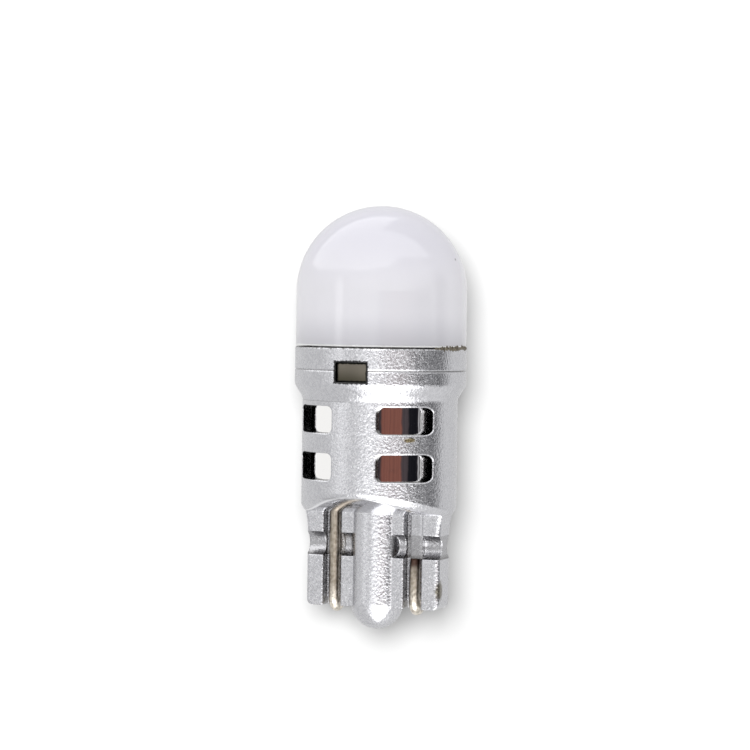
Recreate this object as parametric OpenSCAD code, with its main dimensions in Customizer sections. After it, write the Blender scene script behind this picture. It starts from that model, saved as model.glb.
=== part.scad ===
// Wedge base LED bulb with a milky dome over a windowed silver body.
// Millimetres. The origin is the tip of the base's middle pip, on the bulb's axis, with +Z up
// towards the dome. X runs along the width of the wedge blade and -Y is its front face.
// The base is the same from the front and from the back, turned half a turn about Z.

/* [Wedge blade] */
// Width of the blade from end to end
blade_w = 8.92; // [8.4:0.02:10.8]
// Thickness of the blade over its pads
blade_t = 2.1; // [1.9:0.02:2.5]
// Height of the blade, from its lower edge to the underside of the barrel
blade_h = 5.98; // [5:0.02:7.2]
// Rounding of the blade's two lower corners
blade_corner_r = 0.5; // [0.35:0.05:0.7]
// Rounding of the blade's four upright edges
blade_edge_r = 0.3; // [0.2:0.01:0.36]
// Radius of the round pip that runs down the middle of the blade
pip_r = 1.65; // [1.3:0.05:1.9]
// Length of the pip below the blade's lower edge
pip_drop = 1.42; // [1.1:0.02:1.7]
// Width of each end pad, outside its groove
end_pad_w = 1.14; // [0.9:0.02:1.4]
// Width of the four grooves that the contact wires lie in
groove_w = 1.24; // [1:0.02:1.5]
// Height of the flare that widens each end of the blade into the barrel
flare_h = 1.8; // [1.5:0.05:2.1]
// Height of the flare's foot above the blade's lower edge
flare_rise = 4.55; // [4:0.05:5]

/* [Locking notches] */
// Height of the round notch that a holder's springs snap into
notch_h = 1.48; // [1.2:0.02:1.8]
// Height of the notch's lower side above the blade's lower edge
notch_rise = 3.17; // [2.6:0.01:3.8]
// Depth of the notch in the front and back faces
notch_depth = 0.65; // [0.5:0.01:0.75]

/* [Wire keeper ribs] */
// Width of the flat rib that covers the end of each wire
rib_w = 0.79; // [0.6:0.01:0.95]
// How far the rib's face lies below the pads
rib_recess = 0.12; // [0.1:0.01:0.15]
// Height of the rib's lower end above the blade's lower edge
rib_rise = 3.2; // [2.7:0.05:3.8]

/* [Barrel] */
// How far the barrel stands out past each end of the blade
barrel_step = 0.44; // [0.36:0.01:0.52]
// Wall of the barrel
barrel_wall = 0.54; // [0.45:0.01:0.6]
// Height of the barrel, from its underside to the taper
barrel_h = 7.03; // [5.8:0.01:8.4]
// Width of the flat strip of the underside along each face of the blade
underside_flat = 0.5; // [0.4:0.02:0.6]
// Radius of the two curved underside faces that rise away from the flat strips
underside_r = 6.8; // [6:0.1:8]
// Rounding of the barrel's lower rim
rim_r = 1.1; // [1:0.05:1.2]
// Height at which that rounding ends, at the front and back above the underside's lowest part
rim_rise = 1.58; // [1.5:0.02:1.7]
// Slope of the rounding from the sides up to the front and back, in degrees
rim_slope = 15.5; // [14:0.5:17]
// How far the rounding's own edge lies outside the barrel's front, which keeps a fine crease
rim_crease = 0.02; // [0.015:0.001:0.024]
// The same distance at the barrel's sides
rim_side_crease = 0.06; // [0.05:0.005:0.07]
// Height of the floor inside the barrel above its underside
floor_rise = 1.6; // [1.5:0.05:1.9]

/* [Vent windows] */
// Width of the front and back posts between two windows
window_post = 2.9; // [2.4:0.05:3.5]
// Width left between a window's outer end and the side of the barrel
window_end_wall = 0.56; // [0.5:0.01:0.66]
// Height of the lower windows above the barrel's underside
window_sill = 2.12; // [1.95:0.01:2.6]
// Height of the bar between the two rows of windows
window_bar = 1.22; // [1:0.02:1.5]
// Height of the band between the upper windows and the taper
window_head = 0.27; // [0.2:0.01:0.35]
// Rounding of the windows' corners
window_corner_r = 0.38; // [0.25:0.01:0.45]

/* [Collar] */
// Height of the taper between the barrel and the collar
taper_h = 1.17; // [0.95:0.01:1.4]
// How far the collar stands out past the barrel
collar_step = 0.51; // [0.42:0.01:0.56]
// Height of the collar
collar_h = 2.21; // [1.8:0.01:2.65]
// Wall of the collar
collar_wall = 0.5; // [0.4:0.01:0.6]
// How far the bore's shoulder lies below the collar
shoulder_drop = 0.22; // [0.15:0.01:0.27]
// Chamfer of the collar's upper edge
collar_chamfer = 0.07; // [0.05:0.01:0.09]
// Width of the front and back latch windows
latch_w = 2.04; // [1.7:0.02:2.4]
// Height of the latch windows
latch_h = 1.22; // [1:0.02:1.46]
// Height of the latch windows above the collar's lower edge
latch_rise = 0.08; // [0.05:0.01:0.12]
// Height of the mould parting line above the collar's lower edge
parting_rise = 0.75; // [0.6:0.01:0.9]
// Width of the mould parting line
parting_w = 0.08; // [0.06:0.01:0.1]
// Depth of the mould parting line
parting_depth = 0.05; // [0.03:0.01:0.07]

/* [Dome] */
// How far the dome's side lies inside the collar's
dome_inset = 0.03; // [0.02:0.01:0.05]
// Gap in the seam between the dome and the collar
seam_gap = 0.08; // [0.06:0.01:0.1]
// Height of the dome's straight side above the collar
dome_side_h = 3.51; // [2.9:0.01:4.2]
// Wall of the dome
dome_wall = 0.7; // [0.55:0.01:0.85]
// Height of the dome's inner flange, which reaches over the collar
dome_flange_h = 0.6; // [0.5:0.02:0.72]
// Wall of the plug below the dome, which fits inside the heat sink's cup
plug_wall = 0.5; // [0.4:0.01:0.6]

/* [Heat sink] */
// Wall of the polished sleeve
sleeve_wall = 0.35; // [0.29:0.01:0.42]
// Thickness of the plate across the sleeve's top
plate_t = 0.7; // [0.58:0.01:0.84]
// Wall of the cup above the plate
cup_wall = 0.4; // [0.33:0.01:0.48]
// Depth of the latch tongues below the collar's surface
tongue_recess = 0.2; // [0.15:0.01:0.24]
// Gap round each latch tongue in its window
tongue_gap = 0.07; // [0.05:0.01:0.09]

/* [Lamp board] */
// Thickness of the thermal pad
thermal_pad_t = 0.2; // [0.16:0.01:0.24]
// Thickness of the round lamp board
lamp_board_t = 1; // [0.8:0.05:1.2]
// Side of each square LED package
led_size = 1.9; // [1.6:0.05:2.2]
// Height of each LED package
led_h = 0.7; // [0.55:0.01:0.85]
// Depth of each LED package's phosphor window
led_window_depth = 0.1; // [0.08:0.01:0.12]
// Gap between the corners of the LED packages and the dome's plug
led_gap = 0.4; // [0.3:0.02:0.5]
// Radius of the round phosphor window of an LED package
led_window_r = 0.7; // [0.6:0.01:0.78]

/* [Driver board] */
// Thickness of the driver board
driver_board_t = 0.6; // [0.5:0.02:0.72]
// Depth of the slot that holds the driver board's foot
driver_seat = 0.6; // [0.5:0.01:0.72]
// Bridge rectifier: width, thickness and height
bridge_size = [3.6, 1.2, 2.2]; // [0.5:0.1:4.2]
// Driver chip: width, thickness and height
chip_size = [2.9, 1.1, 1.7]; // [0.5:0.1:3.4]
// Surge diode: width, thickness and height
surge_size = [2.4, 0.9, 1.3]; // [0.5:0.1:2.9]
// Input capacitor: width, thickness and height
capacitor_size = [2, 1, 1.25]; // [0.5:0.05:2.4]
// Each current setting resistor: width, thickness and height
resistor_size = [1.6, 0.45, 0.8]; // [0.3:0.05:1.9]
// Gap between the two resistors
resistor_gap = 0.6; // [0.5:0.05:0.7]
// Width of a component's metal end or lead
lead_w = 0.4; // [0.3:0.02:0.46]
// Thickness of a component's lead
lead_t = 0.2; // [0.15:0.01:0.24]

/* [Link pins] */
// Radius of the two pins between the driver board and the lamp board
pin_r = 0.2; // [0.16:0.01:0.24]
// Distance of each pin's axis from the driver board's side edge
pin_inset = 0.6; // [0.5:0.01:0.7]
// Length of each pin along the driver board
pin_lap = 1.5; // [1.2:0.05:1.8]
// Length of each pin above the lamp board
pin_stub = 0.35; // [0.3:0.01:0.42]
// Radius of the solder round a pin
pin_solder_r = 0.42; // [0.35:0.01:0.5]
// Height of the solder round a pin
pin_solder_h = 0.25; // [0.2:0.01:0.3]

/* [Contact wires] */
// Radius of the contact wire
wire_r = 0.325; // [0.27:0.005:0.34]
// How far each wire's bend hangs below the blade's lower edge
wire_drop = 0.45; // [0.36:0.01:0.54]
// Length of each wire above the floor inside the barrel
wire_inner_h = 1.6; // [1.3:0.05:1.9]
// Length of each wire's end that is tucked under its rib
wire_tuck = 0.35; // [0.28:0.01:0.42]
// Radius of the arc by which each wire's end leans in under its rib
lean_r = 4; // [3.3:0.1:4.8]
// Height of the leaning arc's start below the rib
lean_run = 1.25; // [1:0.05:1.5]
// Radius of the solder round the wire's inner end
wire_solder_r = 0.55; // [0.5:0.01:0.66]
// Height of the solder round the wire's inner end
wire_solder_h = 1; // [0.8:0.05:1.2]

/* [Clearances] */
// Gap between round pieces that are pushed into each other
slip_gap = 0.06; // [0.04:0.01:0.08]
// Gap between a wire and its groove
wire_gap = 0.03; // [0.02:0.005:0.04]
// Extra radius of the holes that the wires and pins pass through
hole_gap = 0.06; // [0.05:0.005:0.08]
// Gap between a round piece and the flat piece that it lies on
seat_gap = 0.01; // [0.008:0.001:0.012]

/* [Hidden] */
$fn = 96;

// Sideways sizes, from the blade outwards
blade_half = blade_w / 2;
face_y = blade_t / 2;
barrel_r = blade_half + barrel_step;
bore_r = barrel_r - barrel_wall;
collar_r = barrel_r + collar_step;
collar_bore_r = collar_r - collar_wall;
sleeve_r = bore_r - slip_gap;
sleeve_bore_r = sleeve_r - sleeve_wall;
cup_r = collar_bore_r - slip_gap;
cup_bore_r = cup_r - cup_wall;
plug_r = cup_bore_r - slip_gap;
plug_bore_r = plug_r - plug_wall;
dome_r = collar_r - dome_inset;
dome_bore_r = dome_r - dome_wall;
groove_x = blade_half - end_pad_w - groove_w / 2;

// Heights, from the pip upwards
blade_z = pip_drop;
seat_z = blade_z + blade_h;
floor_z = seat_z + floor_rise;
taper_z = seat_z + barrel_h;
collar_z = taper_z + taper_h;
collar_top_z = collar_z + collar_h;
shoulder_z = collar_z - shoulder_drop;
plate_top_z = shoulder_z + plate_t;
lamp_board_z = plate_top_z + thermal_pad_t;
lamp_top_z = lamp_board_z + lamp_board_t;
cup_top_z = collar_top_z - slip_gap;
dome_centre_z = collar_top_z + dome_side_h;
rib_z = blade_z + rib_rise;
notch_z = blade_z + notch_rise + notch_h / 2;
notch_r = (notch_depth * notch_depth + notch_h * notch_h / 4) / (2 * notch_depth);

// Windows share the barrel's height between its sill, bar and head
window_w = barrel_r - window_end_wall - window_post / 2;
window_h = (barrel_h - window_sill - window_bar - window_head) / 2;
window_x = (window_post + window_w) / 2;
latch_z = collar_z + latch_rise;

// The flare is an arc that leaves the blade's end upright and lands just inside the barrel's side
flare_limit = barrel_r - seat_gap;
flare_half = sqrt(flare_limit * flare_limit - face_y * face_y);
flare_step = flare_half - blade_half;
flare_z = blade_z + flare_rise;
flare_r = (flare_h * flare_h + flare_step * flare_step) / (2 * flare_step);

// The underside is an arch over each flat strip
underside_z = seat_z + sqrt(underside_r * underside_r - underside_flat * underside_flat);

// The rim's rounding is a ring that slopes up to the front, or to the back
rim_ring_r = barrel_r - rim_r + rim_side_crease;
rim_ring_y = barrel_r - rim_r + rim_crease - rim_ring_r * cos(rim_slope);
rim_ring_z = seat_z + rim_rise - rim_ring_r * sin(rim_slope);

// The wires lie against the driver board's faces and stay in line down the blade
driver_face_y = driver_board_t / 2;
wire_y = driver_face_y + wire_r + seat_gap;
groove_floor_y = wire_y - wire_r - wire_gap;
bend_z = blade_z - wire_drop + wire_r + wire_y;
wire_top_z = floor_z + wire_inner_h;
lean_z = rib_z - lean_run;
wire_hole_r = wire_r + hole_gap;

// The driver board fills the sleeve's width and stands under the plate
driver_half = sqrt(sleeve_bore_r * sleeve_bore_r - driver_face_y * driver_face_y) - slip_gap;
driver_top_z = shoulder_z - slip_gap;
driver_free_h = driver_top_z - floor_z;
front_parts = 3;
back_parts = 2;
front_row_gap = (driver_free_h - surge_size.z - bridge_size.z - resistor_size.z) / (front_parts + 1);
back_row_gap = (driver_free_h - capacitor_size.z - chip_size.z) / (back_parts + 1);
bridge_z = floor_z + 2 * front_row_gap + surge_size.z;
resistor_z = bridge_z + bridge_size.z + front_row_gap;
resistor_x = (resistor_gap + resistor_size.x) / 2;
chip_z = floor_z + 2 * back_row_gap + capacitor_size.z;
pin_x = driver_half - pin_inset;
pin_y = driver_face_y + pin_r + seat_gap;
pin_hole_r = pin_r + hole_gap;

// The LED packages stand evenly round the axis, as far out as their corners allow
led_count = 3;
led_corner_r = plug_bore_r - led_gap;
led_ring_r = sqrt(led_corner_r * led_corner_r - led_size * led_size / 4) - led_size / 2;

// Thin upper rim of the solder, and the share of a wire's solder that each of its slopes takes
solder_rim = 0.02;
solder_slope = 0.33;

// Overlap of pieces that are one solid, and how far a cutter reaches past what it cuts
lap = 0.2;
reach = 30;

// Steps of the smooth taper between the barrel and the collar
taper_steps = 16;
function taper_point(i) = [
    barrel_r + collar_step * (1 - cos(180 * i / taper_steps)) / 2,
    taper_z + taper_h * i / taper_steps
];

// Repeats its children on the front and, half a turn on, on the back
module both_faces() {
    for (turn = [0, 180]) {
        rotate([0, 0, turn]) {
            children();
        }
    }
}

// A block centred on X, from y to y + depth and from z to z + height
module block(size, x, y, z) {
    translate([x - size.x / 2, y, z]) {
        cube(size);
    }
}

// An upright rectangle with round corners, drawn from its lower middle
module round_window_outline(w, h, r) {
    translate([-w / 2 + r, 0]) {
        square([w - 2 * r, h]);
    }
    translate([-w / 2, r]) {
        square([w, h - 2 * r]);
    }
    for (x = [-w / 2 + r, w / 2 - r], y = [r, h - r]) {
        translate([x, y]) {
            circle(r = r);
        }
    }
}

// Half of the barrel, taper and collar in section, as one outline turned about the axis
module upper_outline() {
    polygon(concat(
        [[0, seat_z], [barrel_r, seat_z]],
        [for (i = [0:taper_steps]) taper_point(i)],
        [
            [collar_r, collar_top_z - collar_chamfer],
            [collar_r - collar_chamfer, collar_top_z],
            [0, collar_top_z]
        ]
    ));
}

// What lies below the arch of the underside, behind the blade
module underside_cutter() {
    rotate([90, 0, 90]) {
        linear_extrude(reach, center = true) {
            difference() {
                translate([face_y, underside_z - reach]) {
                    square(reach);
                }
                translate([face_y, underside_z]) {
                    circle(r = underside_r);
                }
            }
        }
    }
}

// What lies outside the rounding of the rim, whose ring slopes up to the front
module rim_cutter() {
    far = 2 * barrel_r;
    translate([0, -rim_ring_y, rim_ring_z]) {
        rotate([-rim_slope, 0, 0]) {
            rotate_extrude() {
                difference() {
                    polygon([
                        [rim_ring_r, 0],
                        [rim_ring_r + far, -far * tan(rim_slope)],
                        [rim_ring_r + far, -far],
                        [rim_ring_r, -far]
                    ]);
                    translate([rim_ring_r, 0]) {
                        circle(r = rim_r);
                    }
                }
            }
        }
    }
}

// The round upper body, with its arched underside and its rounded rim
module upper_form() {
    difference() {
        rotate_extrude() {
            upper_outline();
        }
        both_faces() {
            underside_cutter();
            rim_cutter();
        }
    }
}

// Front outline of the blade below its flare, with round lower corners
module blade_outline() {
    translate([-blade_half, blade_z + blade_corner_r]) {
        square([blade_w, flare_z - blade_z - blade_corner_r]);
    }
    translate([-blade_half + blade_corner_r, blade_z]) {
        square([blade_w - 2 * blade_corner_r, flare_z - blade_z]);
    }
    for (side = [-1, 1]) {
        translate([side * (blade_half - blade_corner_r), blade_z + blade_corner_r]) {
            circle(r = blade_corner_r);
        }
    }
}

// Plan of the blade, with its upright edges rounded
module blade_plan() {
    translate([0, -face_y]) {
        round_window_outline(blade_w, blade_t, blade_edge_r);
    }
}

// What lies outside the flare's concave ends, in section through the flare's own axis
module flare_section() {
    corner_y = face_y - blade_edge_r;
    difference() {
        union() {
            translate([0, -blade_t]) {
                square([flare_r, 2 * blade_t]);
            }
            for (y = [-blade_t, corner_y]) {
                translate([0, y]) {
                    square([flare_r + blade_edge_r, blade_t - corner_y]);
                }
            }
        }
        for (y = [-corner_y, corner_y]) {
            translate([flare_r + blade_edge_r, y]) {
                circle(r = blade_edge_r);
            }
        }
    }
}

// The part of the blade that widens upwards into the barrel's sides
module flare() {
    difference() {
        block([2 * flare_half, blade_t, floor_z - flare_z], 0, -face_y, flare_z);
        both_faces() {
            translate([blade_half + flare_r, 0, flare_z]) {
                rotate([90, 0, 0]) {
                    rotate([0, 0, 90]) {
                        rotate_extrude(angle = 90) {
                            flare_section();
                        }
                    }
                }
            }
        }
    }
}

// Grooves down both faces at each side, joined by a slot under the web between them
module wire_grooves() {
    for (side = [-1, 1]) {
        for (face = [-1, 1]) {
            translate([side * groove_x, face * (groove_floor_y + blade_t / 2), seat_z - reach / 2]) {
                cube([groove_w, blade_t, reach], center = true);
            }
        }
        translate([side * groove_x, 0, bend_z - reach / 2]) {
            cube([groove_w, 2 * blade_t, reach], center = true);
        }
    }
}

// Round channels across both faces, which a holder's springs snap into
module locking_notches() {
    for (face = [-1, 1]) {
        translate([0, face * (face_y - notch_depth + notch_r), notch_z]) {
            rotate([0, 90, 0]) {
                cylinder(r = notch_r, h = reach, center = true);
            }
        }
    }
}

// The flat blade with its flare, grooves and notches
module blade() {
    difference() {
        union() {
            intersection() {
                rotate([90, 0, 0]) {
                    linear_extrude(blade_t, center = true) {
                        blade_outline();
                    }
                }
                linear_extrude(flare_z) {
                    blade_plan();
                }
            }
            flare();
        }
        wire_grooves();
        locking_notches();
    }
}

// The round pip down the middle, with a hemispherical tip
module pip() {
    translate([0, 0, pip_r]) {
        sphere(r = pip_r);
        cylinder(r = pip_r, h = seat_z + lap - pip_r);
    }
}

// The flat rib in each groove that keeps the wire's end
module keeper_ribs() {
    rib_size = [rib_w, face_y - rib_recess - groove_floor_y + lap, seat_z + lap - rib_z];
    both_faces() {
        block(rib_size, groove_x + (groove_w - rib_w) / 2, -face_y + rib_recess, rib_z);
    }
}

// The stepped bore that takes the heat sink
module shell_bore() {
    translate([0, 0, floor_z]) {
        cylinder(r = bore_r, h = reach);
    }
    translate([0, 0, shoulder_z]) {
        cylinder(r = collar_bore_r, h = reach);
    }
}

// Two rows of vent windows, cut straight from the front and from the back
module vent_windows() {
    both_faces() {
        for (side = [-1, 1], row = [0, 1]) {
            translate([side * window_x, 0, seat_z + window_sill + row * (window_h + window_bar)]) {
                rotate([90, 0, 0]) {
                    linear_extrude(reach) {
                        round_window_outline(window_w, window_h, window_corner_r);
                    }
                }
            }
        }
    }
}

// The front and back windows that the heat sink's tongues snap into
module latch_windows() {
    both_faces() {
        block([latch_w, reach, latch_h], 0, -reach, latch_z);
    }
}

// A fine line round the collar where the mould parts
module parting_line() {
    translate([0, 0, collar_z + parting_rise]) {
        rotate_extrude() {
            translate([collar_r - parting_depth, 0]) {
                square([2 * parting_depth, parting_w]);
            }
        }
    }
}

// Slot in the floor for the driver board's foot, and the holes that the wires come through
module floor_openings() {
    slot_size = [2 * (driver_half + slip_gap), driver_board_t + 2 * wire_gap, driver_seat + lap];
    block(slot_size, 0, -driver_face_y - wire_gap, floor_z - driver_seat);
    both_faces() {
        translate([-groove_x, -wire_y, seat_z - lap]) {
            cylinder(r = wire_hole_r, h = floor_rise + 2 * lap);
        }
    }
}

// The leaning hole under each rib that the wire's end is tucked into
module tuck_holes() {
    both_faces() {
        translate([-groove_x, 0, 0]) {
            leaning_end(wire_r + wire_gap, wire_gap);
        }
    }
}

// One moulding: collar, windowed barrel, wedge blade, pip and keeper ribs
module body_shell() {
    color([0.70, 0.71, 0.73])
    difference() {
        union() {
            upper_form();
            blade();
            pip();
            keeper_ribs();
        }
        shell_bore();
        vent_windows();
        latch_windows();
        parting_line();
        floor_openings();
        tuck_holes();
    }
}

// A quarter disc, which turned about the axis is a half ball
module quarter_disc(r) {
    intersection() {
        circle(r = r);
        square(r);
    }
}

// Milky cap: a half ball on a straight side, a flange over the collar and a plug in the cup
module dome_diffuser() {
    plug_h = dome_centre_z - lamp_top_z;
    side_h = dome_side_h - seam_gap;
    bore_h = side_h - dome_flange_h;
    color([0.92, 0.91, 0.95])
    translate([0, 0, dome_centre_z])
    rotate_extrude() {
        difference() {
            union() {
                quarter_disc(dome_r);
                translate([0, -side_h]) {
                    square([dome_r, side_h]);
                }
                translate([0, -plug_h]) {
                    square([plug_r, plug_h]);
                }
            }
            quarter_disc(dome_bore_r);
            translate([0, -bore_h]) {
                square([dome_bore_r, bore_h]);
            }
            translate([0, -plug_h - lap]) {
                square([plug_bore_r, plug_h + lap]);
            }
        }
    }
}

// Holes for the two link pins, through a plate or board
module pin_holes(z, h) {
    for (side = [-1, 1]) {
        translate([side * pin_x, pin_y, z - lap]) {
            cylinder(r = pin_hole_r, h = h + 2 * lap);
        }
    }
}

// Polished sleeve with a plate and a cup on top, and two tongues that latch in the collar
module heat_sink_sleeve() {
    tongue_r = collar_r - tongue_recess;
    tongue_size = [latch_w - 2 * tongue_gap, tongue_r, latch_h - 2 * tongue_gap];
    color([0.80, 0.80, 0.80])
    difference() {
        union() {
            rotate_extrude() {
                polygon([
                    [sleeve_bore_r, floor_z],
                    [sleeve_r, floor_z],
                    [sleeve_r, shoulder_z],
                    [cup_r, shoulder_z],
                    [cup_r, cup_top_z],
                    [cup_bore_r, cup_top_z],
                    [cup_bore_r, plate_top_z],
                    [0, plate_top_z],
                    [0, shoulder_z],
                    [sleeve_bore_r, shoulder_z]
                ]);
            }
            both_faces() {
                intersection() {
                    block(tongue_size, 0, -tongue_r, latch_z + tongue_gap);
                    difference() {
                        cylinder(r = tongue_r, h = reach);
                        cylinder(r = cup_r - cup_wall / 2, h = reach);
                    }
                }
            }
        }
        pin_holes(shoulder_z, plate_t);
    }
}

// Soft pad that carries heat from the lamp board into the plate
module thermal_pad() {
    color([0.55, 0.62, 0.70])
    difference() {
        translate([0, 0, plate_top_z]) {
            cylinder(r = plug_r, h = thermal_pad_t);
        }
        pin_holes(plate_top_z, thermal_pad_t);
    }
}

// Round board that carries the LED packages
module lamp_board() {
    color([0.93, 0.93, 0.90])
    difference() {
        translate([0, 0, lamp_board_z]) {
            cylinder(r = plug_r, h = lamp_board_t);
        }
        pin_holes(lamp_board_z, lamp_board_t);
    }
}

// Square LED package with a round, slightly sunk phosphor window
module led_package(place) {
    color([0.95, 0.85, 0.35])
    rotate([0, 0, 90 + 360 / led_count * (place - 1)])
    translate([led_ring_r, 0, lamp_top_z])
    difference() {
        block([led_size, led_size, led_h], 0, -led_size / 2, 0);
        translate([0, 0, led_h - led_window_depth]) {
            cylinder(r = led_window_r, h = led_h);
        }
    }
}

// Upright board in the sleeve, with its foot in the slot of the shell's floor
module driver_board() {
    foot_z = floor_z - driver_seat;
    color([0.10, 0.35, 0.20])
    block([2 * driver_half, driver_board_t, driver_top_z - foot_z], 0, -driver_face_y, foot_z);
}

// Body of a component that stands on the driver board's front (-1) or back (1) face
module on_board(size, face, x, z) {
    y = face < 0 ? -driver_face_y - size.y : driver_face_y;
    block(size, x, y, z);
}

// Flat leads along a component's two sides, against the board
module side_leads(size, face, z, count) {
    pitch = size.z / count;
    for (side = [-1, 1], i = [0:count - 1]) {
        x = side * (size.x + lead_w) / 2;
        on_board([lead_w, lead_t, pitch / 2], face, x, z + pitch * (i + 1 / 4));
    }
}

// Four-lead bridge that lets the bulb work either way round
module bridge_rectifier() {
    color([0.08, 0.08, 0.09]) {
        on_board(bridge_size, -1, 0, bridge_z);
        side_leads(bridge_size, -1, bridge_z, 2);
    }
}

// Six-lead chip that holds the current steady
module driver_chip() {
    color([0.10, 0.10, 0.11]) {
        on_board(chip_size, 1, 0, chip_z);
        side_leads(chip_size, 1, chip_z, 3);
    }
}

// Diode that clips surges from the vehicle's supply
module surge_diode() {
    color([0.12, 0.12, 0.12]) {
        on_board(surge_size, -1, 0, floor_z + front_row_gap);
        side_leads(surge_size, -1, floor_z + front_row_gap, 1);
    }
}

// Ceramic capacitor across the supply
module input_capacitor() {
    color([0.62, 0.50, 0.38])
    on_board(capacitor_size, 1, 0, floor_z + back_row_gap);
}

// One of the two resistors that set the current
module set_resistor(side) {
    color([0.15, 0.15, 0.18])
    on_board(resistor_size, -1, side * resistor_x, resistor_z);
}

// Pin from the driver board's back face up through the lamp board
module link_pin(side) {
    pin_z = driver_top_z - pin_lap;
    color([0.85, 0.70, 0.30])
    translate([side * pin_x, pin_y, pin_z]) {
        cylinder(r = pin_r, h = lamp_top_z + pin_stub - pin_z);
    }
}

// Ring of solder round a pin on top of the lamp board
module pin_solder(side) {
    color([0.75, 0.76, 0.78])
    translate([side * pin_x, pin_y, lamp_top_z])
    difference() {
        cylinder(r1 = pin_solder_r, r2 = pin_r + seat_gap + solder_rim, h = pin_solder_h);
        translate([0, 0, -lap]) {
            cylinder(r = pin_r + seat_gap, h = pin_solder_h + 2 * lap);
        }
    }
}

// Curved end of a wire on the back face: an arc that leans in under the rib
module leaning_end(r, extra) {
    translate([0, wire_y - lean_r, lean_z]) {
        rotate([90, 0, 90]) {
            rotate_extrude(angle = asin((lean_run + wire_tuck + extra) / lean_r)) {
                translate([lean_r, 0]) {
                    circle(r = r);
                }
            }
        }
    }
}

// One wire: down the front groove, round under the web and up the back groove to its rib
module contact_wire() {
    translate([-groove_x, 0, 0]) {
        translate([0, -wire_y, bend_z]) {
            cylinder(r = wire_r, h = wire_top_z - bend_z);
        }
        translate([0, 0, bend_z]) {
            rotate([-90, 0, 90]) {
                rotate_extrude(angle = 180) {
                    translate([wire_y, 0]) {
                        circle(r = wire_r);
                    }
                }
            }
        }
        translate([0, wire_y, bend_z]) {
            cylinder(r = wire_r, h = lean_z - bend_z);
        }
        leaning_end(wire_r, 0);
    }
}

module contact_wire_left() {
    color([0.55, 0.50, 0.42])
    contact_wire();
}

module contact_wire_right() {
    color([0.55, 0.50, 0.42])
    rotate([0, 0, 180]) {
        contact_wire();
    }
}

// Solder that joins a wire's inner end to the driver board's face
module wire_solder(turn) {
    bore = wire_r + 2 * seat_gap;
    color([0.75, 0.76, 0.78])
    rotate([0, 0, turn])
    difference() {
        translate([-groove_x, -wire_y, wire_top_z - wire_solder_h]) {
            rotate_extrude() {
                polygon([
                    [bore, 0],
                    [bore + solder_rim, 0],
                    [wire_solder_r, wire_solder_h * solder_slope],
                    [wire_solder_r, wire_solder_h * (1 - solder_slope)],
                    [bore + solder_rim, wire_solder_h],
                    [bore, wire_solder_h]
                ]);
            }
        }
        translate([-reach / 2, -driver_face_y, 0]) {
            cube(reach);
        }
    }
}

dome_diffuser();
body_shell();
heat_sink_sleeve();
contact_wire_left();
contact_wire_right();
thermal_pad();
lamp_board();
led_package(1);  // led_package_1
led_package(2);  // led_package_2
led_package(3);  // led_package_3
driver_board();
bridge_rectifier();
driver_chip();
surge_diode();
input_capacitor();
set_resistor(-1);  // set_resistor_1
set_resistor(1);  // set_resistor_2
link_pin(-1);  // link_pin_left
link_pin(1);  // link_pin_right
wire_solder(0);  // wire_solder_left
wire_solder(180);  // wire_solder_right
pin_solder(-1);  // pin_solder_left
pin_solder(1);  // pin_solder_right
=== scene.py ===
import math

import bpy
import bmesh
from mathutils import Matrix, Vector, noise


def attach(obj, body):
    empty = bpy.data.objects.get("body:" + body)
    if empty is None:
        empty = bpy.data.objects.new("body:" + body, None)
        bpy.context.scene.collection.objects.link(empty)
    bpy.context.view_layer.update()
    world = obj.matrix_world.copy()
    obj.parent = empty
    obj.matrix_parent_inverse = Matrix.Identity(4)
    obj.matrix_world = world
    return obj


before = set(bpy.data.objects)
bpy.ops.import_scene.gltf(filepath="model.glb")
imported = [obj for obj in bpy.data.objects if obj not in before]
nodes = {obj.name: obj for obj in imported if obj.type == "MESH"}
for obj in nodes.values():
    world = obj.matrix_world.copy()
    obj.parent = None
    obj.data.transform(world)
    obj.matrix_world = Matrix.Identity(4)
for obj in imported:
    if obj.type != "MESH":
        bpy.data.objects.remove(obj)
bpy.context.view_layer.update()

mm = 0.001
scene = bpy.context.scene


# A socket that Python's signs work on, so that a mask reads as a sum
class Value:
    def __init__(self, finish, socket):
        self.finish = finish
        self.socket = socket

    def calc(self, operation, *terms):
        return self.finish.node("ShaderNodeMath", {"operation": operation}, dict(enumerate(terms)))

    def other(self, name):
        return Value(self.finish, self.socket.node.outputs[name])

    def __add__(self, term):
        return self.calc("ADD", self, term)

    def __radd__(self, term):
        return self.calc("ADD", term, self)

    def __sub__(self, term):
        return self.calc("SUBTRACT", self, term)

    def __rsub__(self, term):
        return self.calc("SUBTRACT", term, self)

    def __mul__(self, term):
        return self.calc("MULTIPLY", self, term)

    def __rmul__(self, term):
        return self.calc("MULTIPLY", term, self)

    def __truediv__(self, term):
        return self.calc("DIVIDE", self, term)

    def __rtruediv__(self, term):
        return self.calc("DIVIDE", term, self)

    def __pow__(self, term):
        return self.calc("POWER", self, term)


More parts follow.
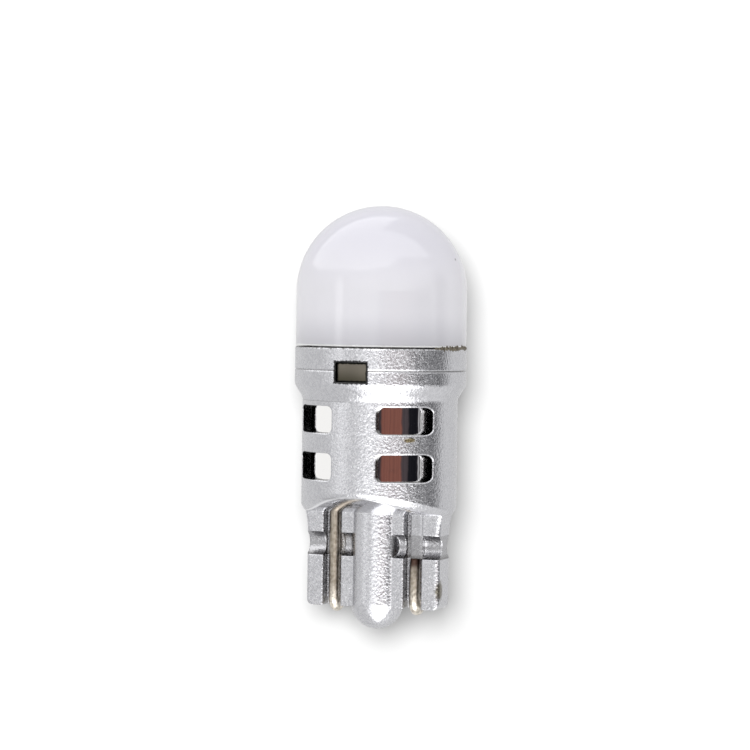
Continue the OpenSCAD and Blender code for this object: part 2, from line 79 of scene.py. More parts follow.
# One material's or the world's node tree, with the patterns that the finishes share
class Finish:
    def __init__(self, owner, surfaceKind):
        owner.use_nodes = True
        self.owner = owner
        self.tree = owner.node_tree
        self.tree.nodes.clear()
        self.out = self.tree.nodes.new(surfaceKind)

    def node(self, kind, settings=None, inputs=None, output=0):
        made = self.tree.nodes.new(kind)
        for key, value in (settings or {}).items():
            if key == "stops":
                self.setStops(made.color_ramp, value)
            else:
                setattr(made, key, value)
        for key, value in (inputs or {}).items():
            if isinstance(value, Value):
                self.tree.links.new(value.socket, made.inputs[key])
            else:
                made.inputs[key].default_value = value
        return Value(self, made.outputs[output])

    def setStops(self, ramp, stops):
        while len(ramp.elements) > 1:
            ramp.elements.remove(ramp.elements[-1])
        for i, (place, colour) in enumerate(stops):
            stop = ramp.elements[0] if i == 0 else ramp.elements.new(place)
            stop.position = place
            stop.color = (*colour, 1)

    def surface(self, shader):
        self.tree.links.new(shader.socket, self.out.inputs["Surface"])

    # Object coordinates in millimetres
    def place(self):
        where = self.node("ShaderNodeTexCoord", output="Object")
        return self.vector("SCALE", where, Scale=1 / mm)

    def vector(self, operation, a, b=None, **named):
        inputs = {0: a, **named}
        if b is not None:
            inputs[1] = b
        scalar = 1 if operation in ("LENGTH", "DISTANCE", "DOT_PRODUCT") else 0
        return self.node("ShaderNodeVectorMath", {"operation": operation}, inputs, output=scalar)

    def axes(self, vector):
        x = self.node("ShaderNodeSeparateXYZ", inputs={0: vector})
        return x, x.other("Y"), x.other("Z")

    # 0 below low, 1 above high, and soft between them
    def rise(self, value, low, high):
        settings = {"interpolation_type": "SMOOTHSTEP"}
        return self.node("ShaderNodeMapRange", settings, {"Value": value, "From Min": low, "From Max": high})

    # 1 between two values, with soft ends
    def band(self, value, low, high, soft):
        return self.rise(value, low - soft, low + soft) * (1 - self.rise(value, high - soft, high + soft))

    def mix(self, factor, a, b):
        return self.node("ShaderNodeMix", {"data_type": "RGBA"}, {0: factor, 6: a, 7: b}, output=2)

    def noise(self, where, scale, detail=2.0, roughness=0.5, distortion=0.0):
        inputs = {"Vector": where, "Scale": scale, "Detail": detail, "Roughness": roughness, "Distortion": distortion}
        return self.node("ShaderNodeTexNoise", inputs=inputs)

    def cells(self, where, scale):
        return self.node("ShaderNodeTexVoronoi", inputs={"Vector": where, "Scale": scale}, output="Color")

    # Blot about a point in millimetres with a ragged rim, shorter along an axis with a larger pull
    def blot(self, where, centre, radius, ragged, scale, pull=(1.0, 1.0, 1.0)):
        away = self.vector("MULTIPLY", self.vector("SUBTRACT", where, centre), pull)
        rough = (self.noise(where, scale, 3) - 0.5) * ragged
        return 1 - self.rise(self.vector("LENGTH", away) + rough, radius * 0.45, radius)

    def size(self, value):
        return value.calc("ABSOLUTE", value)

    def larger(self, a, b):
        return a.calc("MAXIMUM", a, b)

    def rounded(self, radius):
        return self.node("ShaderNodeBevel", {"samples": 8}, {"Radius": radius * mm})

    def bump(self, height, depth, normal=None, strength=1.0):
        inputs = {"Height": height, "Distance": depth * mm, "Strength": strength}
        if normal is not None:
            inputs["Normal"] = normal
        return self.node("ShaderNodeBump", inputs=inputs)

    def skin(self, **inputs):
        named = {key.replace("_", " "): value for key, value in inputs.items()}
        shader = self.node("ShaderNodeBsdfPrincipled", inputs=named)
        self.surface(shader)
        return self.owner


def newFinish(name):
    return Finish(bpy.data.materials.new(name), "ShaderNodeOutputMaterial")


def rgb(r, g, b):
    return (r, g, b, 1.0)


def wear(name, material):
    piece = nodes[name]
    for slot in piece.material_slots:
        slot.material = material


def linkMesh(name, bm):
    mesh = bpy.data.meshes.new(name)
    bm.to_mesh(mesh)
    bm.free()
    piece = bpy.data.objects.new(name, mesh)
    scene.collection.objects.link(piece)
    return piece


silverPaint = {
    "flake": rgb(0.50, 0.50, 0.52),
    "flakeDark": rgb(0.43, 0.43, 0.45),
    "flakeLight": rgb(0.57, 0.57, 0.59),
    # painted shade, for the grooves, notches, ribs, blade faces, seam and mould lines
    "paintedShade": rgb(0.05, 0.045, 0.04),
    # near black: bare moulding and painted shade in the vent windows, painted shade round the latch windows
    "bareAndShade": rgb(0.02, 0.02, 0.02),
    "roughness": 0.25,
    "edgeRadius": 0.15,          # mm, how soft the moulded edges look
    "grainScale": 6.5,           # lumps of the sprayed skin per mm
    "grainDepth": 0.027,         # mm
    "gloss": 0.15,               # roughness of the smooth underside
    "archY": 1.05, "archZ": 14.182, "archRadius": 6.8,        # mm, the underside's curve
    "grooveX": 2.70, "grooveHalf": 0.60, "grooveDeep": 0.86,  # mm, the wire grooves
    # a lighter tone: painted light that lifts the shade in the wire grooves; the smooth underside is pulled towards it
    # too
    "grooveLit": rgb(0.88, 0.88, 0.90),
    "notchZ": (4.59, 6.07), "notchY": 1.01,                   # mm, the locking notches
    "latchHalf": (1.02, 0.61), "latchZ": 16.29,               # mm, the latch windows
    "windowWall": (4.76, 4.85), "windowZ": (8.4, 14.0),       # mm, the cut edges of the vent windows
    "partingZ": (16.35, 16.43),  # mm, the mould's parting line
    "seamZ": 17.81,              # mm, the collar's upper edge
    "mouldLineZ": 14.46,         # mm, fine line at the foot of the taper
    "speck": {"centre": (3.30, -3.62, 12.15), "radius": 0.50, "pull": (1.0, 1.0, 2.6), "colour": rgb(0.20, 0.15, 0.05)},
    "endStain": {"centre": (4.46, -0.78, 2.65), "radius": 0.62, "pull": (1.3, 1.1, 0.8), "colour": rgb(0.10, 0.085, 0.05)},
}


def silverPaintFinish():
    p = silverPaint
    f = newFinish("silverPaint")
    where = f.place()
    x, y, z = f.axes(where)
    flakes = f.axes(f.cells(where, 9.0))[0]
    mottle = f.noise(where, 1.4, 3)
    ragged = f.noise(where, 7.0, 3) - 0.5
    colour = f.mix(f.rise(flakes, 0.1, 0.9), p["flakeDark"], p["flakeLight"])
    colour = f.mix(0.5, colour, p["flake"])
    colour = f.mix(f.rise(mottle, 0.35, 0.75) * 0.10, colour, p["flakeDark"])
    for key in ("speck", "endStain"):
        stain = p[key]
        spot = f.blot(where, stain["centre"], stain["radius"], 0.35, 5.0, stain["pull"])
        colour = f.mix(spot * 0.85, colour, stain["colour"])
    # The wire grooves get painted shade along one side, and a painted lighter tone elsewhere in them
    depth = f.size(y)
    turned = x.calc("SIGN", x) * y.calc("SIGN", y) * -1
    aside = (f.size(x) - p["grooveX"]) * turned
    half = p["grooveHalf"]
    below = (1 - f.rise(z, 7.2, 7.5)) * (1 - f.rise(depth, p["grooveDeep"] - 0.12, p["grooveDeep"] + 0.03))
    colour = f.mix(f.band(aside, -0.12, half + 0.03, 0.04) * below, colour, p["grooveLit"])
    colour = f.mix(f.band(aside, -half - 0.05, -0.36, 0.06) * below * 0.35, colour, p["paintedShade"])
    # The locking notches and the keeper ribs get painted shade, the notches most along their lower edge
    low, high = p["notchZ"]
    notch = f.band(z, low, high, 0.03) * (1 - f.rise(depth, p["notchY"] - 0.04, p["notchY"]))
    colour = f.mix(notch * (0.35 + (1 - f.rise(z, low, low + 0.35)) * 0.4), colour, p["paintedShade"])
    rib = (1 - f.rise(f.size(f.size(x) - p["grooveX"]), 0.40, 0.46)) * f.band(z, 4.62, 7.3, 0.05)
    colour = f.mix(rib * f.rise(depth, 0.9, 0.95) * (1 - f.rise(depth, 1.3, 1.4)) * 0.28, colour, p["paintedShade"])
    # Slight painted shade on the blade's front faces
    face = f.band(depth, 1.01, 1.10, 0.02) * (1 - f.rise(z, 7.0, 7.3))
    colour = f.mix(face * 0.07, colour, p["paintedShade"])
    # The vent windows' cut walls are near black: bare moulding and painted shade
    away = (x * x + y * y) ** 0.5
    cut = f.rise(away, 4.2, 4.25) * (1 - f.rise(away + ragged * 0.08, *p["windowWall"])) * f.band(z, *p["windowZ"], 0.1)
    colour = f.mix(cut * 0.95, colour, p["bareAndShade"])
    # Painted shade round the latch windows, which also hides their edges' highlight, along the seam under the dome, in
    # the fine line under the taper and in the parting line
    beside = f.larger(f.size(x) - p["latchHalf"][0], f.size(z - p["latchZ"]) - p["latchHalf"][1])
    rim = (1 - f.rise(beside + ragged * 0.22, 0.08, 0.14)) * f.rise(depth, 4.0, 4.2)
    seam = f.rise(z + ragged * 0.30, p["seamZ"] - 0.09, p["seamZ"] - 0.03) * f.rise(z, 17.0, 17.1)
    parting = f.band(z + ragged * 0.05, *p["partingZ"], 0.02) * (0.35 + f.rise(x, -2.0, 1.0) * 0.3)
    fine = f.band(z, p["mouldLineZ"] - 0.02, p["mouldLineZ"] + 0.02, 0.02) * (1 - f.rise(x, -1.2, 0.6))
    colour = f.mix(rim * 0.97, colour, p["bareAndShade"])
    colour = f.mix(seam * 0.75, colour, p["paintedShade"])
    colour = f.mix(fine * 0.35, colour, p["paintedShade"])
    colour = f.mix(parting, colour, p["paintedShade"])
    # The underside is smooth, so it mirrors the blade and the wires
    across = depth - p["archY"]
    arch = p["archZ"] - (p["archRadius"] ** 2 - across * across) ** 0.5
    smooth = (1 - f.rise(f.size(z - arch), 0.03, 0.08)) * f.rise(depth, 1.1, 1.3)
    colour = f.mix(smooth * 0.45, colour, p["grooveLit"])
    grain = f.noise(where, p["grainScale"], 2, 0.6) * (1 - smooth * 0.9)
    normal = f.bump(grain, p["grainDepth"], f.rounded(p["edgeRadius"]))
    roughness = p["roughness"] + (flakes - 0.5) * 0.08 + (mottle - 0.5) * 0.06
    roughness = roughness + smooth * (p["gloss"] - p["roughness"])
    return f.skin(Base_Color=colour, Metallic=1.0, Roughness=roughness, Normal=normal)


milkyDome = {
    "top": rgb(0.72, 0.71, 0.775),
    "middle": rgb(0.85, 0.84, 0.885),
    "foot": rgb(0.60, 0.595, 0.635),
    "rim": rgb(0.93, 0.93, 0.93),
    "footZ": (17.5, 20.2),       # mm, over which the foot's painted shade fades out
    "topZ": (21.0, 25.0),        # mm, over which the top's darker painted shade fades in
    "rimZ": 17.97,               # mm, up to which the thin edge over the seam is light: a painted highlight
    "roughness": 0.035,
    "scatter": 0.6,              # mm that light travels in the plastic
    "speck": {"centre": (4.92, -0.28, 23.35), "radius": 0.12},
}


def milkyDomeFinish():
    p = milkyDome
    f = newFinish("milkyDome")
    where = f.place()
    z = f.axes(where)[2]
    # The tone is painted light: painted shade towards the foot and at the top
    colour = f.mix(f.rise(z, *p["footZ"]), p["foot"], f.mix(f.rise(z, *p["topZ"]), p["middle"], p["top"]))
    cloud = f.noise(where, 0.5, 2)
    colour = f.mix(cloud * 0.05, colour, p["foot"])
    # Painted highlight along the dome's lower edge
    colour = f.mix(1 - f.rise(z, p["rimZ"] - 0.03, p["rimZ"] + 0.03), colour, p["rim"])
    colour = f.mix(f.blot(where, p["speck"]["centre"], p["speck"]["radius"], 0.04, 6.0), colour, rgb(0.2, 0.2, 0.2))
    skin = f.noise(where, 3.0, 2)
    roughness = p["roughness"] + (skin - 0.5) * 0.02
    return f.skin(
        Base_Color=colour, Roughness=roughness, Normal=f.bump(skin, 0.002), Subsurface_Weight=0.25,
        Subsurface_Radius=(1.0, 1.0, 1.0), Subsurface_Scale=p["scatter"] * mm, Specular_IOR_Level=0.45,
    )


polishedSleeve = {
    "mirror": rgb(0.90, 0.89, 0.88),
    "tongue": rgb(0.145, 0.13, 0.108),
    "tongueShade": rgb(0.055, 0.05, 0.035),
    "tongueZ": (15.55, 17.05),   # mm
    "tongueMiddle": 16.29,       # mm
    "tongueHalf": (0.99, 0.58),  # mm
    # painted shade round the tongue's edges
    "tongueEdgeShade": rgb(0.012, 0.012, 0.010),
}


def polishedSleeveFinish():
    p = polishedSleeve
    f = newFinish("polishedSleeve")
    where = f.place()
    x, y, z = f.axes(where)
    low, high = p["tongueZ"]
    tongue = f.band(z, low, high, 0.04)
    smear = f.noise(f.vector("MULTIPLY", where, (1.0, 1.0, 6.0)), 0.8, 3)
    # Painted shade: the tongue darker towards its bottom and left, darkest round its edges
    shade = f.mix(f.rise(z + x * 0.12, low, high - 0.3), p["tongueShade"], p["tongue"])
    edge = f.larger(f.size(x) - p["tongueHalf"][0], f.size(z - p["tongueMiddle"]) - p["tongueHalf"][1])
    edge = f.rise(edge + (f.noise(where, 6.0, 3) - 0.5) * 0.10, -0.10, -0.05)
    shade = f.mix(edge, shade, p["tongueEdgeShade"])
    colour = f.mix(tongue, p["mirror"], shade)
    roughness = 0.03 + f.rise(smear, 0.5, 0.9) * 0.05 + tongue * 0.34
    normal = f.bump(f.noise(where, 0.9, 2), 0.010)
    return f.skin(Base_Color=colour, Metallic=1.0, Roughness=roughness, Normal=normal)


nickelWire = {
    "plating": rgb(0.34, 0.30, 0.25),
    "tarnish": rgb(0.15, 0.125, 0.095),
    # painted highlight on the lower bend
    "bright": rgb(0.74, 0.69, 0.61),
    # painted shade where the ends tuck in
    "tuckShade": rgb(0.035, 0.008, 0.005),
    "highlightBendZ": (1.4, 3.2),         # mm, over which the bend's painted highlight fades out
    "tuckZ": (3.75, 4.35),       # mm, over which the tucked ends take a red-brown painted shade
}


def nickelWireFinish():
    p = nickelWire
    f = newFinish("nickelWire")
    where = f.place()
    x, y, z = f.axes(where)
    drawn = f.noise(f.vector("MULTIPLY", where, (6.0, 6.0, 1.2)), 2.0, 3)
    old = f.noise(where, 5.0, 3)
    # Painted highlight: lighter low on the bend
    colour = f.mix(f.rise(z, *p["highlightBendZ"]), p["bright"], p["plating"])
    colour = f.mix(f.rise(old, 0.42, 0.62) * 0.55, colour, p["tarnish"])
    # Painted shade, red-brown, where the ends tuck in under the keeper ribs
    tucked = f.rise(z, *p["tuckZ"]) * f.rise(x * y * -1, 0.0, 0.4)
    colour = f.mix(tucked * 0.85, colour, p["tuckShade"])
    roughness = 0.30 + drawn * 0.12
    return f.skin(Base_Color=colour, Metallic=1.0, Roughness=roughness, Normal=f.bump(drawn + old, 0.010))


tinned = {"colour": rgb(0.72, 0.72, 0.74), "roughness": 0.28}

# One entry per inner piece: its body, a darker tone, and where its tinned ends or leads begin
innerParts = {
    "thermal_pad": {"body": rgb(0.36, 0.44, 0.54), "dark": rgb(0.26, 0.33, 0.42), "roughness": 0.85},
    "driver_board": {"body": rgb(0.015, 0.13, 0.05), "dark": rgb(0.008, 0.07, 0.03), "roughness": 0.35},
    "bridge_rectifier": {"body": rgb(0.015, 0.015, 0.017), "dark": rgb(0.03, 0.03, 0.03), "roughness": 0.55, "ends": 1.8},
    "driver_chip": {"body": rgb(0.018, 0.018, 0.02), "dark": rgb(0.035, 0.035, 0.035), "roughness": 0.5, "ends": 1.45},
    "surge_diode": {"body": rgb(0.02, 0.02, 0.02), "dark": rgb(0.04, 0.04, 0.04), "roughness": 0.55, "ends": 1.2},
    "input_capacitor": {"body": rgb(0.34, 0.21, 0.12), "dark": rgb(0.27, 0.16, 0.09), "roughness": 0.4, "ends": 0.72},
    "set_resistor_1": {"body": rgb(0.02, 0.02, 0.025), "dark": rgb(0.05, 0.05, 0.05), "roughness": 0.3, "ends": 0.55, "middle": -1.1},
    "set_resistor_2": {"body": rgb(0.02, 0.02, 0.025), "dark": rgb(0.05, 0.05, 0.05), "roughness": 0.3, "ends": 0.55, "middle": 1.1},
}


def innerFinish(name, p):
    f = newFinish(name + "Finish")
    where = f.place()
    x, y, z = f.axes(where)
    mottle = f.noise(where, 4.0, 3)
    grain = f.noise(where, 14.0, 2)
    colour = f.mix(f.rise(mottle, 0.35, 0.7), p["body"], p["dark"])
    roughness = p["roughness"] + (grain - 0.5) * 0.15
    metal = 0.0
    if name == "driver_board":
        # Copper tracks under the mask, and tinned pads in a grid
        tracks = f.node("ShaderNodeTexWave", {"wave_profile": "SIN"}, {"Vector": where, "Scale": 0.55, "Distortion": 3.0}, output=1)
        colour = f.mix(f.rise(tracks, 0.62, 0.68) * 0.5, colour, rgb(0.05, 0.26, 0.08))
    if "ends" in p:
        metal = f.rise(f.size(x - p.get("middle", 0.0)), p["ends"] - 0.01, p["ends"] + 0.01)
        colour = f.mix(metal, colour, tinned["colour"])
        roughness = roughness + metal * (tinned["roughness"] - p["roughness"])
    normal = f.bump(grain + mottle, 0.008, f.rounded(0.05))
    return f.skin(Base_Color=colour, Metallic=metal, Roughness=roughness, Normal=normal)


lampBoard = {
    "mask": rgb(0.86, 0.86, 0.83),
    "edge": rgb(0.60, 0.60, 0.61),
    "edgeRadius": 4.25,          # mm from the axis, past which the bare metal core shows
    "phosphor": rgb(0.80, 0.56, 0.06),
    "phosphorDark": rgb(0.66, 0.42, 0.04),
    "package": rgb(0.83, 0.82, 0.78),
    "ledRing": 2.408, "ledWindow": 0.69,                      # mm
    "ledTopZ": 18.88,            # mm, just under the packages' upper faces
}


def lampBoardFinish():
    p = lampBoard
    f = newFinish("lampBoard")
    where = f.place()
    x, y, z = f.axes(where)
    away = (x * x + y * y) ** 0.5
    dust = f.noise(where, 3.0, 3)
    edge = f.rise(away + (dust - 0.5) * 0.05, p["edgeRadius"], p["edgeRadius"] + 0.04)
    colour = f.mix(edge, f.mix(dust * 0.12, p["mask"], p["edge"]), p["edge"])
    return f.skin(Base_Color=colour, Metallic=edge, Roughness=0.42 + (dust - 0.5) * 0.2,
                  Normal=f.bump(dust, 0.006, f.rounded(0.05)))


def ledPackageFinish():
    p = lampBoard
    f = newFinish("ledPackage")
    where = f.place()
    z = f.axes(where)[2]
    flat = f.vector("MULTIPLY", where, (1.0, 1.0, 0.0))
    window = None
    for turn in (90, 210, 330):
        a = math.radians(turn)
        near = f.vector("DISTANCE", flat, (p["ledRing"] * math.cos(a), p["ledRing"] * math.sin(a), 0.0))
        spot = 1 - f.rise(near, p["ledWindow"] - 0.02, p["ledWindow"] + 0.01)
        window = spot if window is None else f.larger(window, spot)
    window = window * (1 - f.rise(z, p["ledTopZ"] - 0.03, p["ledTopZ"]))
    grains = f.noise(where, 9.0, 3)
    phosphor = f.mix(f.rise(grains, 0.3, 0.7), p["phosphorDark"], p["phosphor"])
    colour = f.mix(window, p["package"], phosphor)
    return f.skin(Base_Color=colour, Roughness=0.35 + window * 0.3, Normal=f.bump(grains, 0.006, f.rounded(0.05)))


def metalFinish(name, bright, dull, roughness):
    f = newFinish(name)
    where = f.place()
    flow = f.noise(where, 5.0, 3)
    colour = f.mix(f.rise(flow, 0.35, 0.7), bright, dull)
    return f.skin(Base_Color=colour, Metallic=1.0, Roughness=roughness + (flow - 0.5) * 0.2, Normal=f.bump(flow, 0.012))


print("finishes")
wear("body_shell", silverPaintFinish())
wear("dome_diffuser", milkyDomeFinish())
wear("heat_sink_sleeve", polishedSleeveFinish())
wires = nickelWireFinish()
packages = ledPackageFinish()
brass = metalFinish("brassPin", rgb(0.80, 0.58, 0.22), rgb(0.60, 0.42, 0.16), 0.25)
solder = metalFinish("brightSolder", rgb(0.66, 0.66, 0.68), rgb(0.45, 0.45, 0.47), 0.30)
wear("lamp_board", lampBoardFinish())
for side in ("left", "right"):
    wear("contact_wire_" + side, wires)
    wear("link_pin_" + side, brass)
    wear("wire_solder_" + side, solder)
    wear("pin_solder_" + side, solder)
for place in ("1", "2", "3"):
    wear("led_package_" + place, packages)
for name, settings in innerParts.items():
    wear(name, innerFinish(name, settings))


seamResidue = {
    "azimuth": (57.0, 112.0),    # degrees, from the front towards +X
    "steps": 130,
    "around": 10,
    "radius": 5.36, "z": 17.80,  # mm, the middle of the crust
    "thick": (0.04, 0.15),       # mm
    "high": (0.05, 0.26),        # mm
    "limit": 5.395,              # mm, the farthest that it may reach along X
    "crust": rgb(0.06, 0.05, 0.035),
    "dry": rgb(0.22, 0.19, 0.14),
}


def makeSeamResidue():
    p = seamResidue
    bm = bmesh.new()
    start, end = p["azimuth"]
    rings = []
    for i in range(p["steps"] + 1):
        part = i / p["steps"]
        azimuth = math.radians(start + (end - start) * part)
        out = Vector((math.sin(azimuth), -math.cos(azimuth), 0))
        swell = math.sin(math.pi * part) ** 0.5
        lump = 0.5 + 0.5 * noise.noise(Vector((part * 21, 3.1, 0)))
        crumb = 0.5 + 0.5 * noise.noise(Vector((part * 57, 8.7, 0)))
        thick = swell * (p["thick"][0] + (p["thick"][1] - p["thick"][0]) * lump * crumb * 2)
        high = swell * (p["high"][0] + (p["high"][1] - p["high"][0]) * lump * crumb * 2)
        drop = 0.06 * noise.noise(Vector((part * 30, 0, 5.3)))
        ring = []
        for k in range(p["around"]):
            a = 2 * math.pi * k / p["around"]
            rough = 1 + 0.35 * noise.noise(Vector((part * 80, math.cos(a), math.sin(a))))
            radius = p["radius"] + (thick * math.cos(a)) * rough
            radius = min(radius, p["limit"] / max(out.x, 0.01))
            height = p["z"] + drop + high * math.sin(a) * rough
            ring.append(bm.verts.new((out * radius + Vector((0, 0, height))) * mm))
        rings.append(ring)
    for near, far in zip(rings, rings[1:]):
        for k in range(p["around"]):
            n = (k + 1) % p["around"]
            bm.faces.new((near[k], far[k], far[n], near[n]))
    bm.faces.new(rings[0])
    bm.faces.new(list(reversed(rings[-1])))
    bmesh.ops.recalc_face_normals(bm, faces=bm.faces)
    piece = linkMesh("seam_residue", bm)
    f = newFinish("seamResidue")
    where = f.place()
    grit = f.noise(where, 9.0, 4, 0.6)
    f.skin(Base_Color=f.mix(f.rise(grit, 0.4, 0.65), p["crust"], p["dry"]), Roughness=0.7 + (grit - 0.5) * 0.3, Normal=f.bump(grit, 0.03))
    piece.data.materials.append(f.owner)
    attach(piece, "root")


stageSizes = {
    "wallBack": 6.6,             # mm from the bulb's axis to the wall behind it
    "wallWide": 400.0,
    "floorZ": -9.6,              # mm
    "wallTone": 0.28,
    "wallGlow": 0.12,
}


def cameraAxes(azimuth):
    a = math.radians(azimuth)
    towards = Vector((math.sin(a), -math.cos(a), 0))      # from the axis to the camera
    right = Vector((math.cos(a), math.sin(a), 0))
    return towards, right


cameraPlace = {
    "distance": 175.08, "azimuth": 20.244, "height": 20.464,
    "yaw": 0.115, "pitch": 1.449, "roll": 0.855, "lens": 133.1,
}


def makeCamera():
    p = cameraPlace
    towards, _ = cameraAxes(p["azimuth"])
    back, right = cameraAxes(p["azimuth"] + p["yaw"])
    pitch = math.radians(p["pitch"])
    forward = -back * math.cos(pitch) - Vector((0, 0, 1)) * math.sin(pitch)
    up = right.cross(forward)
    turn = Matrix((right, up, -forward)).transposed() @ Matrix.Rotation(math.radians(p["roll"]), 3, "Z")
    data = bpy.data.cameras.new("camera")
    data.lens = p["lens"]
    data.sensor_width = 36
    data.clip_start = 0.005
    data.clip_end = 10
    camera = bpy.data.objects.new("camera", data)
    camera.matrix_world = Matrix.Translation((towards * p["distance"] + Vector((0, 0, p["height"]))) * mm) @ turn.to_4x4()
    scene.collection.objects.link(camera)
    scene.camera = camera


def makeStage():
    p = stageSizes
    towards, right = cameraAxes(cameraPlace["azimuth"])
    # The wall shows from the front only, so it never hides the bulb from behind
    f = newFinish("whiteWall")
    tone = p["wallTone"]
    white = f.node("ShaderNodeBsdfDiffuse", inputs={"Color": rgb(tone, tone, tone)})
    glow = f.node("ShaderNodeEmission", inputs={"Color": rgb(1, 1, 1), "Strength": p["wallGlow"]})
    seen = f.node("ShaderNodeLightPath", output="Is Camera Ray")
    lit = f.node("ShaderNodeAddShader", inputs={0: white, 1: f.node("ShaderNodeMixShader", inputs={0: seen, 2: glow})})
    behind = f.node("ShaderNodeNewGeometry", output="Backfacing")
    clear = f.node("ShaderNodeBsdfTransparent")
    f.surface(f.node("ShaderNodeMixShader", inputs={0: behind, 1: lit, 2: clear}))
    bm = bmesh.new()
    half = p["wallWide"] * mm / 2
    bmesh.ops.create_grid(bm, x_segments=1, y_segments=1, size=half)
    turn = Matrix((right, Vector((0, 0, 1)), towards)).transposed().to_4x4()
    middle = -towards * p["wallBack"] * mm + Vector((0, 0, p["floorZ"] * mm + half))
    bmesh.ops.transform(bm, matrix=Matrix.Translation(middle) @ turn, verts=bm.verts)
    wall = linkMesh("wall", bm)
    wall.data.materials.append(f.owner)
    wall.visible_glossy = False
    wall.visible_diffuse = False
    g = newFinish("paleFloor")
    pale = g.node("ShaderNodeBsdfDiffuse", inputs={"Color": rgb(tone, tone, tone)})
    glow = g.node("ShaderNodeEmission", inputs={"Color": rgb(1, 1, 1), "Strength": 0.5})
    seen = g.node("ShaderNodeLightPath", output="Is Camera Ray")
    g.surface(g.node("ShaderNodeAddShader", inputs={0: pale, 1: g.node("ShaderNodeMixShader", inputs={0: seen, 2: glow})}))
    bm = bmesh.new()
    bmesh.ops.create_grid(bm, x_segments=1, y_segments=1, size=2.0)
    bmesh.ops.translate(bm, vec=(0, 0, p["floorZ"] * mm), verts=bm.verts)
    floor = linkMesh("floor", bm)
    floor.data.materials.append(g.owner)
    floor.visible_glossy = False
    return wall, floor


lamps = {
    "shadowKey": {"azimuth": 16.0, "elevation": 8.5, "away": 0.30, "size": 0.108, "level": 2.80, "lights": "stage"},
    "paintKey": {"azimuth": 16.0, "elevation": 24.0, "away": 0.40, "size": 0.12, "level": 0.18, "lights": "paint"},
}


# level 1 lights a white face that is turned to the lamp to full white
def makeLamps(stagePieces):
    aim = Vector((0, 0, 13 * mm))
    lit = {"stage": stagePieces, "paint": [nodes["body_shell"]]}
    for name, p in lamps.items():
        data = bpy.data.lights.new(name, "AREA")
        data.shape = "DISK"
        data.size = p["size"]
        data.energy = p["level"] * math.pi * math.pi * p["away"] ** 2
        lamp = bpy.data.objects.new(name, data)
        e = math.radians(p["elevation"])
        towards, _ = cameraAxes(p["azimuth"])
        way = towards * math.cos(e) + Vector((0, 0, math.sin(e)))
        lamp.matrix_world = Matrix.Translation(aim + way * p["away"]) @ way.to_track_quat("Z", "Y").to_matrix().to_4x4()
        lamp.visible_camera = False
        scene.collection.objects.link(lamp)
        receivers = bpy.data.collections.new(name + "Receivers")
        for piece in lit[p["lights"]]:
            receivers.objects.link(piece)
        lamp.light_linking.receiver_collection = receivers


studio = {
    "diffuse": (1.33, 1.12),     # level of the soft light, left and right
    "left": 1.00,
    "right": 1.13,
    "behind": 0.85,              # share of the level that stays behind the bulb
    "sky": 1.5,                  # added above the sky's edge
    # azimuth and elevation range in degrees, softness of the edges in degrees, and the colour's level
    "panels": [
        {"azimuth": (-8, 70), "elevation": (-80, -13), "soft": 9, "colour": rgb(4.6, 4.6, 4.6)},
        {"azimuth": (-44, -34), "elevation": (-6, 12), "soft": 3, "colour": rgb(2.6, 2.6, 2.6)},
        {"azimuth": (95, 117), "elevation": (-14, 18), "soft": 8, "colour": rgb(0.02, 0.02, 0.03)},
        {"azimuth": (17, 93), "elevation": (-6, 4), "soft": 1, "colour": rgb(0.04, 0.035, 0.04)},
        {"azimuth": (23, 59), "elevation": (-6, 3), "soft": 2.5, "colour": rgb(0.24, 0.095, 0.073)},
        {"azimuth": (58, 70), "elevation": (-9, 6), "soft": 3, "colour": rgb(0.075, 0.06, 0.066)},
        {"azimuth": (70, 87), "elevation": (-9, 8), "soft": 2, "colour": rgb(0.008, 0.008, 0.011)},
        {"azimuth": (88.5, 91), "elevation": (-9, 9), "soft": 1, "colour": rgb(0.42, 0.42, 0.44)},
    ],
}


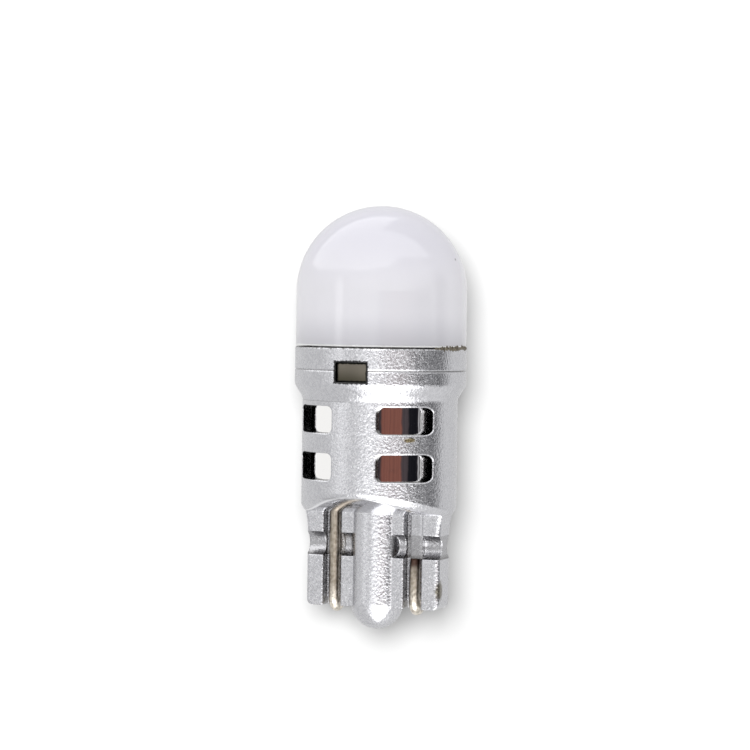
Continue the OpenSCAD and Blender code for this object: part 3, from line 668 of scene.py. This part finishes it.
def makeStudio():
    p = studio
    world = bpy.data.worlds.new("studio")
    scene.world = world
    f = Finish(world, "ShaderNodeOutputWorld")
    x, y, z = f.axes(f.node("ShaderNodeTexCoord", output="Generated"))
    azimuth = x.calc("ARCTAN2", x, 0 - y) * (180 / math.pi)
    elevation = z.calc("ARCSINE", z) * (180 / math.pi)
    level = p["right"] + (1 - f.rise(x, -0.6, 0.6)) * (p["left"] - p["right"])
    # The sky's lower edge climbs in two steps from left to right, and ends upright
    edge = 18.0 + f.rise(azimuth, -90, -30) * 7 + f.rise(azimuth, -20, 24) * 7 + f.rise(azimuth, 26, 50) * 13
    edge = edge - f.rise(azimuth, 60, 105) * 8
    ahead = f.rise(x * 0.342 - y * 0.94, -0.54, -0.48) * (1 - f.rise(azimuth, 105, 107))
    level = level + f.rise(elevation - edge, -0.8, 0.8) * ahead * p["sky"]
    level = level * (1 - f.rise(y, 0.55, 0.9) * (1 - p["behind"]))
    colour = f.node("ShaderNodeCombineColor", inputs={0: level, 1: level, 2: level})
    upright = f.node("ShaderNodeCombineXYZ", inputs={0: azimuth, 1: elevation * 0.1})
    streaks = f.rise(f.noise(upright, 0.30, 3), 0.35, 0.75) * 0.4
    for panel in p["panels"]:
        inside = f.band(azimuth, *panel["azimuth"], panel["soft"]) * f.band(elevation, *panel["elevation"], panel["soft"])
        colour = f.mix(inside, colour, f.mix(streaks, panel["colour"], rgb(0.02, 0.02, 0.025)) if panel["colour"][0] < 0.3 else panel["colour"])
    rays = f.node("ShaderNodeLightPath", output="Is Camera Ray")
    glossy = rays.other("Is Glossy Ray")
    left, right = p["diffuse"]
    soft = left + f.rise(x, -0.9, 0.9) * (right - left)
    fill = f.mix(glossy, f.node("ShaderNodeCombineColor", inputs={0: soft, 1: soft, 2: soft}), colour)
    seen = rays.calc("MAXIMUM", rays, rays.other("Is Transmission Ray"))
    f.surface(f.node("ShaderNodeBackground", inputs={0: f.mix(seen, fill, rgb(1, 1, 1))}))


print("seam residue")
makeSeamResidue()
print("camera, stage and lamps")
makeCamera()
makeLamps(makeStage())
makeStudio()

scene.view_settings.view_transform = "Standard"
